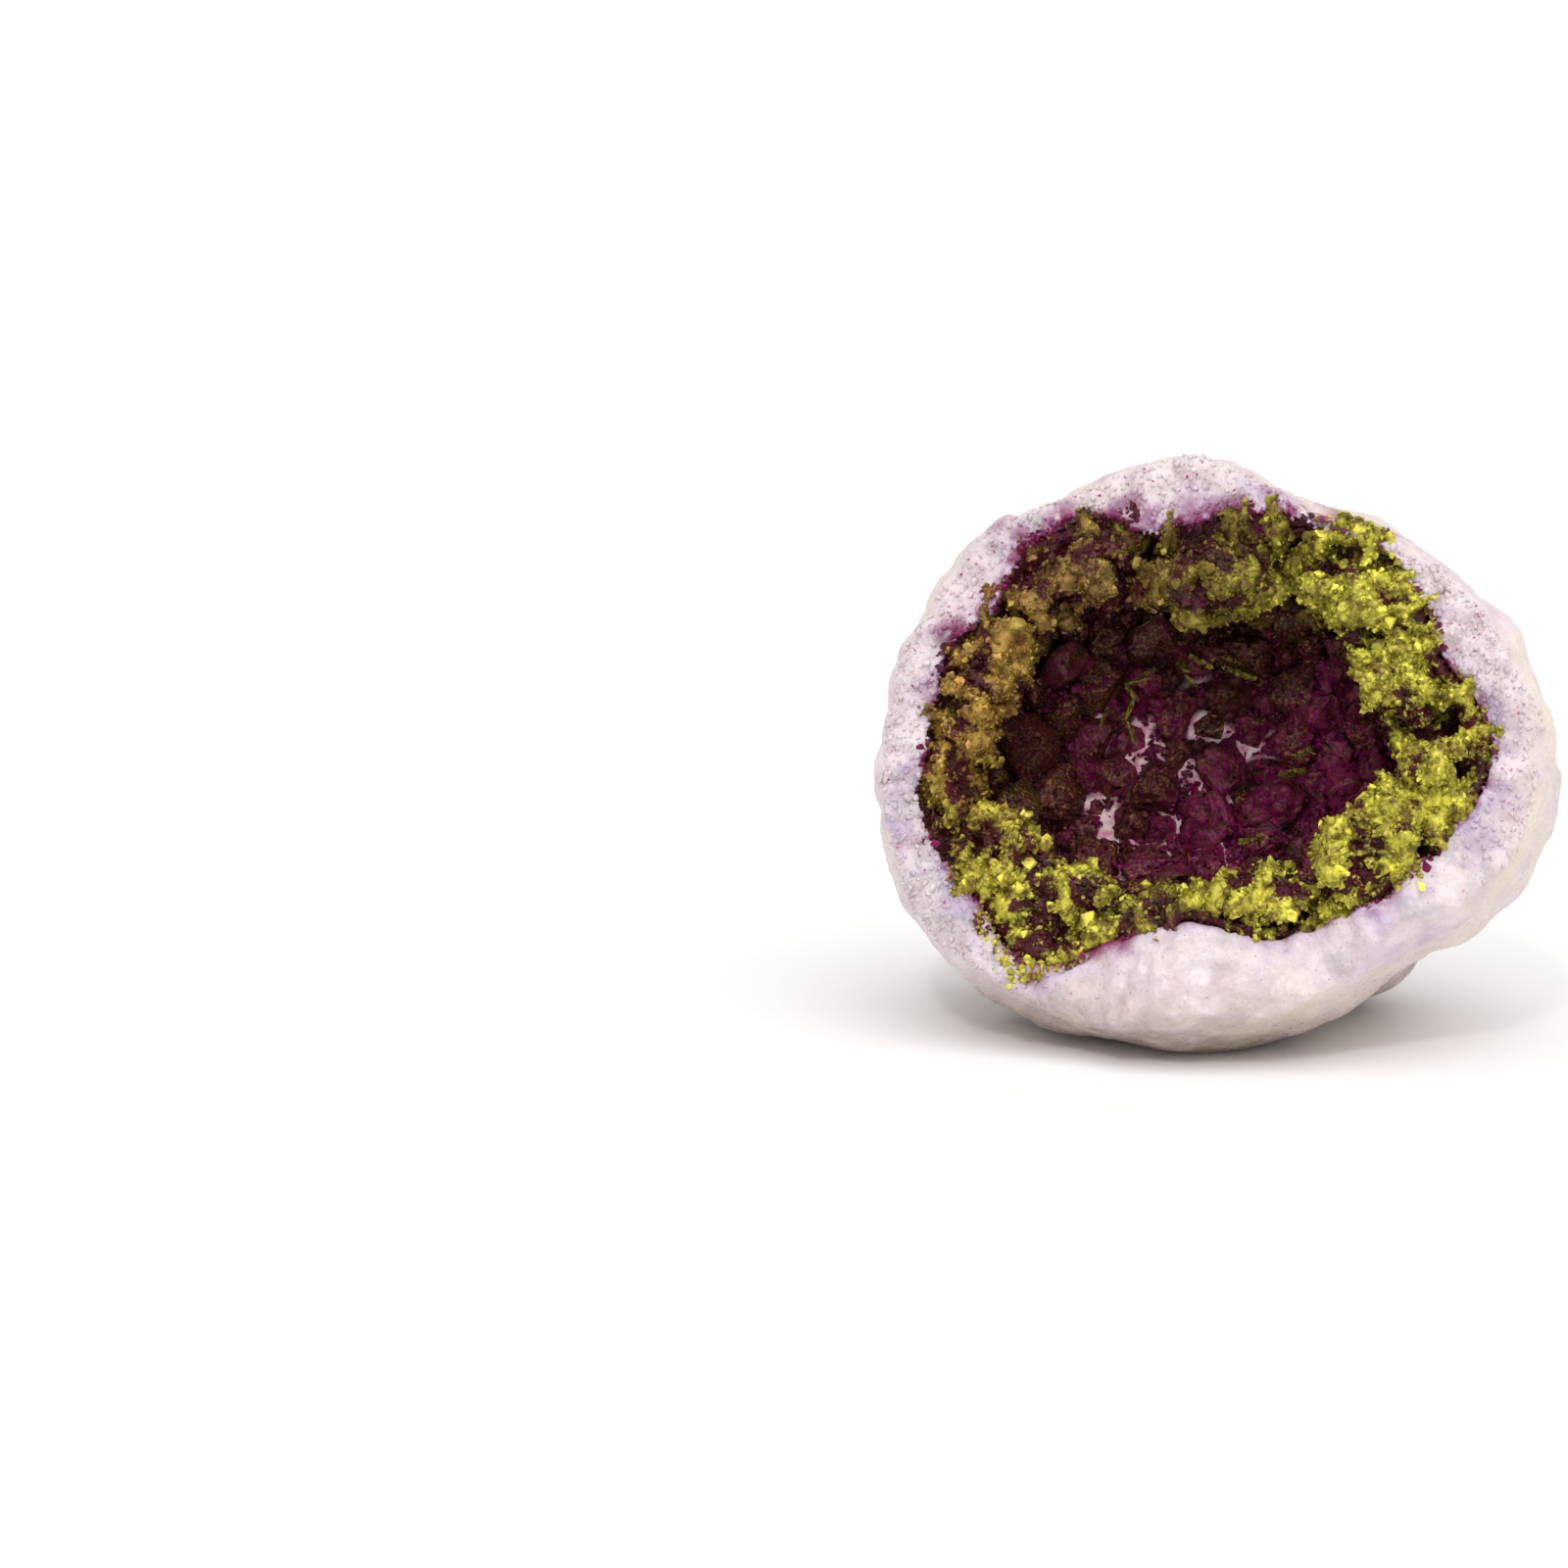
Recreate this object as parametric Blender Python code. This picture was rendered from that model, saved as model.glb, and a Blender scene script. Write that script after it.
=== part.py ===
"""One half of a broken geode: a pale rock shell whose hollow is lined with crystals.

The stone stands on a worn flat, its opening turned to -Y, a little up and a little to -X.
Everything is modelled in the stone's own frame (x right, y into the stone, z up, origin at
the middle of the body), and an empty carries it to where it stands. Lengths below are in
millimetres and become metres where a mesh is made. Angles around the opening are in degrees,
anticlockwise from +x as seen from outside.
"""

import math
import random

import bmesh
import bpy
from mathutils import Matrix, Vector, noise

MM = 0.001
SEED = 11

# How the half stands.
TILT = 18.0  # degrees that the opening looks up
YAW = -14.0  # degrees that it turns towards -X
FLAT_DEPTH = 1.6  # what wear has taken off the lowest point, which leaves the flat

# The body: a collar around the opening and a second lobe behind it.
COLLAR_HALF_WIDTH = 34.5
COLLAR_HALF_HEIGHT = 30.0
COLLAR_BACK = 27.0
COLLAR_FRONT = 30.0
COLLAR_SWELLS = (  # angle, spread and rise of each swell (+) and dip (-) of the outline
    (58, 20, -1.5),  # flattened upper right
    (92, 9, 0.6),  # crown
    (73, 5, -0.8),  # nick beside the crown
    (138, 22, 1.5),  # full upper left
    (218, 24, 2.0),  # heavy lower left
    (-48, 22, -3.0),  # drawn in over the rear lobe
)
LOBE_CENTRE = Vector((3.5, 14.0, -7.0))
LOBE_HALF = Vector((21.5, 18.0, 18.0))
ROCK_LUMPS = ((0.07, 1.2), (0.19, 0.5))  # waves per millimetre and height
LOBE_SHIFT = 5.0  # moves the noise, so that the lobe's lumps aren't the collar's

# The broken face, and the tongue of rock that stands up at the front of it.
BREAK_FORWARD = 10.0
BREAK_LUMPS = ((0.06, 1.6), (0.21, 0.6))
BREAK_SHIFT = 3.0
TONGUE = (270, 18, 2.4)  # angle, spread and how far it stands forward
BREAK_BLOCK_HALF = 52.0  # half the width of the block that cuts the broken face
BREAK_BLOCK_FRONT = -70.0
BREAK_CELLS = 34  # squares across that face

# The hollow.
HOLLOW_CENTRE = Vector((-0.6, -8.0, 2.0))
HOLLOW_HALF_WIDTH = 29.5
HOLLOW_HALF_HEIGHT = 22.6
HOLLOW_BACK = 23.5
HOLLOW_FRONT = 26.0
HOLLOW_SQUARENESS = 2.5  # 2 is an ellipsoid, more has straighter walls
HOLLOW_SWELLS = (
    (20, 13, -3.0),  # the wall stands in at the right
    (52, 20, 1.5),  # wide upper right
    (90, 12, -1.2),  # low roof
    (118, 16, 1.2),  # wide upper left
    (172, 14, -1.8),  # the wall stands in at the left
    (208, 16, 2.5),  # pocket at the left
    (236, 12, 5.5),  # pocket at the lower left
    (274, 17, -3.2),  # the tongue stands in
    (318, 20, 1.0),  # wide lower right
)
HOLLOW_LUMPS = ((0.10, 1.2),)
HOLLOW_SHIFT = 9.0

# The crust of small grown-together crystals that lines the hollow.
GAP = 0.4  # clearance between pieces that touch
CRUST_THICKNESS = 2.3
CRUST_SET_BACK = 1.0  # the crust ends this far behind the broken face

# Masses of small crystals that stand in from the crust around the opening:
# name, first and last angle, and how far they stand in.
CLUSTERS = (
    ("right_cluster", -6, 20, 4.4),
    ("upper_right_cluster", 38, 55, 4.4),
    ("roof_cluster", 77, 99, 5.6),
    ("upper_left_cluster", 119, 143, 3.6),
    ("left_cluster", 158, 196, 3.2),
    ("lower_left_cluster", 212, 244, 5.0),
    ("floor_cluster", 285, 298, 3.4),
    ("lower_right_cluster", 318, 336, 6.0),
)
CLUSTER_STEP = 7.0  # most degrees between the blocks of one mass, so that they grow together
CLUSTER_DEPTH = 7.0  # from the broken face inwards
CLUSTER_LAYERS = (0.2, 0.62)  # share of that depth at which blocks lie
CLUSTER_SCATTER = 0.4  # how far a block strays from its layer
BLOCK_CORNERS = 10
BLOCK_HALF = 2.9  # smallest half size of a block, so that neighbours grow together
BLOCK_SHARE = 0.7  # half size of a block, as a share of how far its mass stands in
BLOCK_SINK = 0.55  # share of its half size by which a block lies short of that
BLOCK_UNEVEN = (0.88, 1.1)  # least and most distance of a corner, as a share of the half size

# Single crystals in rings around the back of the hollow: name, degrees from the back,
# how many, width and height.
RINGS = (
    ("back_crystal", 0, 1, 7.0, 4.6),
    ("inner_crystal", 21, 6, 6.6, 4.4),
    ("outer_crystal", 46, 12, 6.6, 4.2),
    ("wall_crystal", 64, 14, 4.4, 3.2),
)
RING_SCATTER = 0.06  # share of the step between two crystals of a ring
WIDTH_RANGE = (0.88, 1.0)
HEIGHT_RANGE = (0.8, 1.1)
TIP_LEAN = 0.1  # most that a tip stands off the middle, as a share of the width
PRISM_SHARE = 0.45  # share of a crystal's height that is prism, below its point
SHOULDER_SHARE = 0.86  # width at the top of the prism, as a share of the width at its foot
BLADE_RING = 33  # degrees from the back, between two rings
BLADES = (70, 100, 130, 160, 285, 350)  # angle of each blade
BLADE_WIDTH = 1.3
BLADE_LENGTH = 4.4
BLADE_FLATNESS = 0.5
BLADE_TIP = 0.2  # how far the tip stands off the middle, as a share of the width
BLADE_LEAN = 52.0  # degrees from standing straight out of the wall
BLADE_LIFT = 0.6  # a leaning blade's foot has to clear the crust as well
CRYSTAL_LIFT = 1.05  # a flat base has to clear the curved crust under it

NORMAL_STEP = 2.0  # degrees between the wall points that give the wall's direction
FINE, COARSE = 5, 4  # icosphere subdivisions
GROUND_WIDTH = 160.0  # of the block that takes off what is below the ground
GROUND_DEPTH = 20.0

ROCK = ((0.80, 0.73, 0.77), 0.75, 0.0)  # colour, roughness and metallic
CRUST = ((0.10, 0.02, 0.06), 0.45, 0.0)
BRONZE = ((0.33, 0.29, 0.06), 0.35, 0.8)
MAGENTA = ((0.17, 0.02, 0.10), 0.25, 0.1)
BLADE_GREEN = ((0.34, 0.40, 0.07), 0.30, 0.8)


def clear_scene():
    for old in list(bpy.data.objects):
        bpy.data.objects.remove(old)


def new_collection(name):
    made = bpy.data.collections.new(name)
    bpy.context.scene.collection.children.link(made)
    return made


def new_material(name, look):
    colour, roughness, metallic = look
    made = bpy.data.materials.new(name)
    made.use_nodes = True
    shader = made.node_tree.nodes["Principled BSDF"]
    shader.inputs["Base Color"].default_value = (*colour, 1.0)
    shader.inputs["Roughness"].default_value = roughness
    shader.inputs["Metallic"].default_value = metallic
    return made


# ---- shapes in the stone's frame ------------------------------------------------------


def swell_at(angle, centre, spread):
    """One at the centre angle, fading smoothly to nothing over the spread."""
    away = (angle - centre + 180.0) % 360.0 - 180.0
    return math.exp(-((away / spread) ** 2))


def outline(angle, half_width, half_height, swells):
    """Radius of an ellipse that carries swells and dips."""
    turn = math.radians(angle)
    ellipse = 1.0 / math.hypot(math.cos(turn) / half_width, math.sin(turn) / half_height)
    return ellipse + sum(rise * swell_at(angle, centre, spread) for centre, spread, rise in swells)


def lumps(point, waves, offset=0.0):
    """Uneven height of a natural surface, made of a few sizes of smooth noise."""
    shift = Vector((offset, offset, offset))
    return sum(height * noise.noise(point * rate + shift) for rate, height in waves)


def dome(direction, radius, depth, power=2.0):
    """Distance to a rounded form with one radius across y and one depth along it."""
    across = math.hypot(direction.x, direction.z)
    return (abs(across / radius) ** power + abs(direction.y / depth) ** power) ** (-1.0 / power)


def collar_point(direction):
    angle = math.degrees(math.atan2(direction.z, direction.x))
    radius = outline(angle, COLLAR_HALF_WIDTH, COLLAR_HALF_HEIGHT, COLLAR_SWELLS)
    depth = COLLAR_BACK if direction.y > 0 else COLLAR_FRONT
    point = direction * dome(direction, radius, depth)
    return point + direction * lumps(point, ROCK_LUMPS)


def lobe_point(direction):
    scaled = Vector(d * h for d, h in zip(direction, LOBE_HALF))
    point = LOBE_CENTRE + scaled
    return point + direction * lumps(point, ROCK_LUMPS, LOBE_SHIFT)


def hollow_point(direction, inset=0.0):
    """A point of the hollow's wall, or of a surface that lies inset millimetres inside it."""
    angle = math.degrees(math.atan2(direction.z, direction.x))
    radius = outline(angle, HOLLOW_HALF_WIDTH, HOLLOW_HALF_HEIGHT, HOLLOW_SWELLS)
    depth = HOLLOW_BACK if direction.y > 0 else HOLLOW_FRONT
    reach = dome(direction, radius, depth, HOLLOW_SQUARENESS)
    reach += lumps(direction * reach, HOLLOW_LUMPS, HOLLOW_SHIFT)
    return HOLLOW_CENTRE + direction * (reach - inset)


def break_y(x, z):
    """How far forward the broken face lies at one place."""
    angle = math.degrees(math.atan2(z, x))
    centre, spread, rise = TONGUE
    y = -BREAK_FORWARD - rise * swell_at(angle, centre, spread)
    return y + lumps(Vector((x, 0.0, z)), BREAK_LUMPS, BREAK_SHIFT)


def from_back(ring, angle):
    """Direction that is ring degrees from straight back, at an angle around the opening."""
    polar = math.radians(ring)
    turn = math.radians(angle)
    across = math.sin(polar)
    return Vector((across * math.cos(turn), math.cos(polar), across * math.sin(turn)))


def wall_normal(ring, angle, inset):
    """Direction from the lining's face into the hollow."""
    turn = math.radians(angle)
    here = from_back(ring, angle)
    around = Vector((-math.sin(turn), 0.0, math.cos(turn))) * math.radians(NORMAL_STEP)
    up = hollow_point(from_back(ring + NORMAL_STEP, angle), inset)
    down = hollow_point(from_back(ring - NORMAL_STEP, angle), inset)
    left = hollow_point((here + around).normalized(), inset)
    right = hollow_point((here - around).normalized(), inset)
    normal = (up - down).cross(left - right).normalized()
    return normal if normal.dot(here) < 0 else -normal


# ---- objects --------------------------------------------------------------------------


def add_object(name, bm, collection, parent, look=None):
    """Turn a bmesh in millimetres into an object in metres."""
    bmesh.ops.scale(bm, vec=(MM, MM, MM), verts=bm.verts)
    bmesh.ops.recalc_face_normals(bm, faces=bm.faces)
    mesh = bpy.data.meshes.new(name)
    bm.to_mesh(mesh)
    bm.free()
    made = bpy.data.objects.new(name, mesh)
    collection.objects.link(made)
    made.parent = parent
    if look is None:
        made.hide_render = True
        made.display_type = "WIRE"
    else:
        mesh.materials.append(new_material(name, look))
    return made


def ball(subdivisions, place):
    """An icosphere whose vertices are moved to place(direction)."""
    bm = bmesh.new()
    bmesh.ops.create_icosphere(bm, subdivisions=subdivisions, radius=1.0)
    for vert in bm.verts:
        vert.co = place(vert.co.normalized())
    return bm


def break_block(set_back):
    """A block in front of the stone whose near side is the broken face."""
    bm = bmesh.new()
    bmesh.ops.create_grid(bm, x_segments=BREAK_CELLS, y_segments=BREAK_CELLS, size=BREAK_BLOCK_HALF)
    for vert in bm.verts:
        x, z = vert.co.x, vert.co.y
        vert.co = Vector((x, break_y(x, z) + set_back, z))
    grown = bmesh.ops.extrude_face_region(bm, geom=list(bm.faces))
    for item in grown["geom"]:
        if isinstance(item, bmesh.types.BMVert):
            item.co.y = BREAK_BLOCK_FRONT
    return bm


def boolean(target, operation, other, joins_itself=False):
    modifier = target.modifiers.new(operation.title(), "BOOLEAN")
    modifier.operation = operation
    modifier.solver = "EXACT"
    modifier.use_self = joins_itself
    modifier.object = other


def crystal(width, height, lean):
    """A six-sided prism with a point that stands a little off its middle."""
    prism = height * PRISM_SHARE
    foot, shoulder = width / 2, width * SHOULDER_SHARE / 2
    bm = bmesh.new()
    bmesh.ops.create_cone(
        bm, cap_ends=True, segments=6, radius1=foot, radius2=shoulder, depth=prism
    )
    bmesh.ops.translate(bm, vec=(0, 0, prism / 2), verts=bm.verts)
    top = max(bm.faces, key=lambda face: face.calc_center_median().z)
    tip = bmesh.ops.poke(bm, faces=[top])["verts"][0]
    tip.co += Vector((lean[0] * width, lean[1] * width, height - prism))
    return bm


def stand_on_wall(bm, ring, angle, twist, inset, lean=0.0):
    """Turn a form that grows along +z so that it grows from the lining, leaning along its ring."""
    foot = hollow_point(from_back(ring, angle), inset)
    turn, lean = math.radians(angle), math.radians(lean)
    around = Vector((-math.sin(turn), 0.0, math.cos(turn)))
    axis = wall_normal(ring, angle, inset) * math.cos(lean) + around * math.sin(lean)
    turn = axis.to_track_quat("Z", "Y").to_matrix().to_4x4()
    place = Matrix.Translation(foot) @ turn @ Matrix.Rotation(twist, 4, "Z")
    bmesh.ops.transform(bm, matrix=place, verts=bm.verts)


def block(centre, half, rng):
    """An angular lump: the hull of a few points spread over an ellipsoid."""
    points = []
    for _ in range(BLOCK_CORNERS):
        away = Vector((rng.gauss(0, 1), rng.gauss(0, 1), rng.gauss(0, 1))).normalized()
        points.append(centre + away * half * rng.uniform(*BLOCK_UNEVEN))
    return points


def cluster(first, last, stand_in, rng):
    """A row of angular lumps along the inner edge of the broken face."""
    bm = bmesh.new()
    steps = math.ceil((last - first) / CLUSTER_STEP)
    for index in range(steps + 1):
        angle = first + (last - first) * index / steps
        rim = hollow_point(from_back(90, angle), GAP + CRUST_THICKNESS)
        inward = (HOLLOW_CENTRE - rim).normalized()
        for layer in CLUSTER_LAYERS:
            y = -BREAK_FORWARD + CLUSTER_DEPTH * layer
            half = max(BLOCK_HALF, stand_in * BLOCK_SHARE)
            middle = rim + inward * (stand_in - half * BLOCK_SINK)
            middle.y = y + rng.uniform(-CLUSTER_SCATTER, CLUSTER_SCATTER)
            corners = block(middle, half, rng)
            verts = [bm.verts.new(point) for point in corners]
            hull = bmesh.ops.convex_hull(bm, input=verts)
            loose = [v for v in hull["geom_interior"] if isinstance(v, bmesh.types.BMVert)]
            bmesh.ops.delete(bm, geom=loose, context="VERTS")
    return bm


def blade():
    """A thin flat crystal with a slanted end."""
    bm = crystal(BLADE_WIDTH, BLADE_LENGTH, (BLADE_TIP, 0.0))
    bmesh.ops.scale(bm, vec=(1.0, BLADE_FLATNESS, 1.0), verts=bm.verts)
    return bm


# ---- the geode ------------------------------------------------------------------------


def build_rock(parts, cutters, stand):
    rock = add_object("rock_shell", ball(FINE, collar_point), parts, stand, ROCK)
    lobe = add_object("lobe_shape", ball(COARSE, lobe_point), cutters, stand)
    face = add_object("break_shape", break_block(0.0), cutters, stand)
    hollow = add_object("hollow_shape", ball(COARSE, hollow_point), cutters, stand)
    boolean(rock, "UNION", lobe)
    boolean(rock, "DIFFERENCE", face)
    boolean(rock, "DIFFERENCE", hollow)
    return rock


def build_crust(parts, cutters, stand):
    outside = ball(COARSE, lambda direction: hollow_point(direction, GAP))
    crust = add_object("druse_crust", outside, parts, stand, CRUST)
    inner = ball(COARSE, lambda direction: hollow_point(direction, GAP + CRUST_THICKNESS))
    face = add_object("crust_end_shape", break_block(CRUST_SET_BACK), cutters, stand)
    boolean(crust, "DIFFERENCE", add_object("crust_inside_shape", inner, cutters, stand))
    boolean(crust, "DIFFERENCE", face)


def build_clusters(parts, cutters, stand, rng):
    room = ball(COARSE, lambda direction: hollow_point(direction, 2 * GAP + CRUST_THICKNESS))
    room = add_object("room_shape", room, cutters, stand)
    for name, first, last, stand_in in CLUSTERS:
        mass = add_object(name, cluster(first, last, stand_in, rng), parts, stand, BRONZE)
        boolean(mass, "INTERSECT", room, joins_itself=True)


def build_ring_crystals(parts, stand, rng):
    inset = GAP + CRUST_THICKNESS + CRYSTAL_LIFT
    for name, ring, count, width, height in RINGS:
        for index in range(count):
            scatter = rng.uniform(-RING_SCATTER, RING_SCATTER)
            angle = 360.0 * (index + scatter) / count + ring
            lean = (rng.uniform(-TIP_LEAN, TIP_LEAN), rng.uniform(-TIP_LEAN, TIP_LEAN))
            grown_width = width * rng.uniform(*WIDTH_RANGE)
            bm = crystal(grown_width, height * rng.uniform(*HEIGHT_RANGE), lean)
            stand_on_wall(bm, ring, angle, rng.uniform(0, math.tau), inset)
            add_object(f"{name}_{index + 1:02d}", bm, parts, stand, MAGENTA)


def build_blades(parts, stand, rng):
    inset = GAP + CRUST_THICKNESS + CRYSTAL_LIFT + BLADE_LIFT
    for index, angle in enumerate(BLADES):
        bm = blade()
        stand_on_wall(bm, BLADE_RING, angle, rng.uniform(0, math.tau), inset, BLADE_LEAN)
        add_object(f"blade_crystal_{index + 1:02d}", bm, parts, stand, BLADE_GREEN)


def world_points(objects):
    """Every vertex of the objects as they are after their modifiers, in world space."""
    depsgraph = bpy.context.evaluated_depsgraph_get()
    points = []
    for item in objects:
        shown = item.evaluated_get(depsgraph)
        points.extend(shown.matrix_world @ vert.co for vert in shown.data.vertices)
    return points


def lower_and_flatten(rock, stand, cutters):
    """Set the lowest point just under the ground and take off what is below it."""
    lowest = min(point.z for point in world_points([rock]))
    stand.location.z = -lowest - FLAT_DEPTH * MM
    bm = bmesh.new()
    bmesh.ops.create_cube(bm, size=1.0)
    bmesh.ops.scale(bm, vec=(GROUND_WIDTH, GROUND_WIDTH, GROUND_DEPTH), verts=bm.verts)
    bmesh.ops.translate(bm, vec=(0, 0, -GROUND_DEPTH / 2), verts=bm.verts)
    boolean(rock, "DIFFERENCE", add_object("ground_shape", bm, cutters, None))


def centre_on_origin(parts, stand):
    points = world_points([item for item in parts.objects if item.type == "MESH"])
    for axis in (0, 1):
        values = [point[axis] for point in points]
        stand.location[axis] -= (min(values) + max(values)) / 2
    bpy.context.view_layer.update()


def build():
    clear_scene()
    parts = new_collection("geode_half")
    cutters = new_collection("cutters")
    stand = bpy.data.objects.new("stand", None)
    parts.objects.link(stand)
    stand.rotation_euler = (math.radians(-TILT), 0.0, math.radians(YAW))
    rng = random.Random(SEED)
    rock = build_rock(parts, cutters, stand)
    build_crust(parts, cutters, stand)
    build_clusters(parts, cutters, stand, rng)
    build_ring_crystals(parts, stand, rng)
    build_blades(parts, stand, rng)
    bpy.context.view_layer.update()
    lower_and_flatten(rock, stand, cutters)
    bpy.context.view_layer.update()
    centre_on_origin(parts, stand)


build()
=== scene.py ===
"""Looks of the geode half: the rock's surface, the crystals that line its hollow, and the light.

Lengths are in millimetres unless a name says otherwise, and MM turns them into metres. Angles
around the opening are in degrees, from the stone's right and counterclockwise as seen from the
front. A ring is an angle from straight back, as seen from the middle of the hollow.
"""

import math

import bmesh
import bpy
import numpy as np
from mathutils import Euler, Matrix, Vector, noise
from mathutils.bvhtree import BVHTree


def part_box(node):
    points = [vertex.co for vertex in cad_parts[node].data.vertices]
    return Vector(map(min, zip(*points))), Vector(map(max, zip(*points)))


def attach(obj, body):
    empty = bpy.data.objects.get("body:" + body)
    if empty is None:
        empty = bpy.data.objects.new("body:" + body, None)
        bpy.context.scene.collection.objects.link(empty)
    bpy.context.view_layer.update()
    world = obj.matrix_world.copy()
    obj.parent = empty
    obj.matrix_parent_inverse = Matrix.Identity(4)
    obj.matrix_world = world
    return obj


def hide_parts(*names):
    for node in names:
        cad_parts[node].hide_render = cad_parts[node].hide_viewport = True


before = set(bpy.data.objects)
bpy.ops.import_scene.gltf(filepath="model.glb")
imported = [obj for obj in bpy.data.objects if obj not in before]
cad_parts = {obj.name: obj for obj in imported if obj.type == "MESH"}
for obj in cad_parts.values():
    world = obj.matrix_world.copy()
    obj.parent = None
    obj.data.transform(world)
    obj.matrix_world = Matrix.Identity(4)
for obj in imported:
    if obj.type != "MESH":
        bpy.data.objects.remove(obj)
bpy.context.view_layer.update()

MM = 0.001
SEED = 7

# How the stone stands: the turn from its own frame, with y into the stone, to the row frame.
TILT, TURN = -18.0, -14.0
STANCE = np.array(Euler((math.radians(TILT), 0.0, math.radians(TURN))).to_matrix())
BACK = STANCE[:, 1]
HOLLOW_FORWARD = 6.0  # from the middle of the crust's box out to the hollow's middle

# Angles around the opening that several things share. The lip is the rock's tongue at the bottom.
RIGHT, ROOF, LEFT, LOWER_LEFT, LIP = 0.0, 88.0, 180.0, 238.0, 285.0

# The rock's surface.
ROCK_VOXEL = 0.42
ROCK_SMOOTHING = 12
ROCK_WAVES = (  # waves per millimetre, height on the outside, height on the broken face
    (0.10, 0.90, 0.60),
    (0.24, 0.75, 1.05),
    (0.55, 0.32, 0.80),
    (1.20, 0.05, 0.35),
)
ROCK_OVERHANGS = (  # angle, spread, and how far the rock's edge hangs over the lining
    (322.0, 20.0, 2.4),
    (52.0, 20.0, 1.5),
    (101.0, 14.0, 2.6),
    (150.0, 12.0, 2.6),
    (196.0, 26.0, 1.9),
)
OVERHANG_FORWARD = 0.9
OVERHANG_REACH = (4.5, 0.8)  # distances from the lining between which the overhang grows
LUMP_SIZE, LUMP_HEIGHT = 2.6, 0.55  # lumps on the broken face
WALL_DISTANCE, WALL_LIFT = 1.0, 0.1  # how near the rock under the lining is, and what its swells keep
GROUND_FADE = (0.2, 1.8)  # heights between which the swells fade out towards the ground
WORN_ANGLE, WORN_SPREAD = 292.0, 58.0  # where the broken face is worn smooth
WORN_LOSS = 0.5  # share of its swells that is worn away there
SUGAR_STEP = 0.62  # distance between the small pale crystals of the broken face
SUGAR_SIZES = (0.5, 1.15)

# Colours of the rock, and where they lie.
ROSE, BLUSH = (0.66, 0.53, 0.57), (0.80, 0.70, 0.73)
CLEAR, CREAM, MOTTLE_AND_SHADE = (0.52, 0.47, 0.49), (0.78, 0.68, 0.58), (0.40, 0.33, 0.30)
LILAC, WINE, SPECK = (0.49, 0.35, 0.60), (0.22, 0.012, 0.10), (0.42, 0.02, 0.20)
# The second of these is painted shade: a brown darkening of the rock near the ground.
DUST, UNDERSIDE_SHADE = (0.28, 0.17, 0.22), (0.33, 0.245, 0.20)
BLEED_REACH = (1.9, 0.7)  # distances from the lining where the wine stain ends and is full
BLEED_ANGLE, BLEED_SPREAD, BLEED_MORE = 118.0, 45.0, 0.9  # where it reaches further, and by what share
TINT_REACH = 3.8  # distance from the lining where the lilac stain ends
FRONT_FADE = (8.0, 2.0)  # depths in the stone where those stains end and are full
WEATHERED_DEPTHS = (13.0, 21.0)  # depths where the mottling of the outside starts and is full
# The height under which the rock is darkened with painted shade towards the ground.
UNDERSIDE_SHADE_HEIGHT = 9.0

# Small crystals that creep out over the broken face.
CREEP_REACH, CREEP_UNEVEN = 1.1, 1.8
CREEP_LOWER_LEFT = 2.2  # how much further they reach there
CREEP_LIP_LOSS = 0.7  # share of their reach that they lack at the lip
RIM_STEP, RIM_SIZES = 0.45, (0.6, 1.2)

# The camera.
LENS = 85.0
SENSOR = 36.0
CAMERA_DISTANCE = 384.5
CAMERA_ELEVATION = 10.0
CAMERA_TARGET = Vector((-43.9, 0.0, 25.0))

# Film colours, and where around the opening each one lies: angle and spread.
GREEN, OLIVE = (0.80, 0.76, 0.09), (0.17, 0.135, 0.013)
BRONZE, GOLD = (0.30, 0.150, 0.055), (0.50, 0.26, 0.055)
TARNISH = (0.12, 0.060, 0.020)
FILM_PLACES = (
    (GREEN, 0.0, 34.0),
    (GREEN, 40.0, 16.0),
    (OLIVE, 84.0, 28.0),
    (BRONZE, 126.0, 24.0),
    (GOLD, 176.0, 28.0),
    (GREEN, 234.0, 22.0),
    (OLIVE, 268.0, 14.0),
    (GREEN, 305.0, 34.0),
)
BARE_PLACES = (  # angle, spread, and how much less film there is
    (100.0, 45.0, 0.27),
    (180.0, 24.0, 0.12),
    (238.0, 22.0, 0.26),
    (270.0, 13.0, 0.45),
    (320.0, 20.0, 0.16),
)
FILM_DEPTH_LOSS = 0.45  # deep in the hollow
FILM_RIGHT_LOSS = 0.60  # and on the inner side of the right-hand mass
FILM_EDGE = 60.0  # the ring from which film is common
FILM_EDGE_ROOF, FILM_EDGE_LEFT = 28.0, 14.0  # how much further back that is at the roof and left
FILM_BASE, FILM_OUTER, FILM_RIM = -0.12, 0.42, 0.14  # everywhere, past that ring, at the opening
CREST_FILM_AND_SHADE = 1.4  # how much more film a crest has than a crease: partly the film's own spread, partly painted shade in the creases and painted light on the crests
FILM_PATCHES = ((0.25, 3.0, 0.50), (0.60, 5.0, 0.45))  # waves per millimetre, offset, height
FILM_PAINTED_DEEP_SHADE = 0.34  # how bright the film still is deep in the hollow, as painted shade darkening it towards the back
FILM_SHADES = (0.45, 1.25)  # least and most brightness of one crystal's film
BACK_GOLD = 1.6  # brightness of the gold film on the back wall

# The dyed crystal under the film.
MAROON, MAGENTA, UMBER = (0.115, 0.010, 0.026), (0.30, 0.003, 0.120), (0.042, 0.022, 0.009)
VEIN, GRIT = (0.018, 0.004, 0.004), (0.030, 0.010, 0.006)
DYE_BASE, DYE_UNEVEN, DYE_OUTER_LOSS = 0.30, 0.5, 0.30
DYE_PLACES = ((0.0, 38.0, 24.0), (282.0, 30.0, 22.0), (150.0, 22.0, 14.0))  # angle, ring, spread
DYE_MORE = 0.45  # at those places

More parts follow.
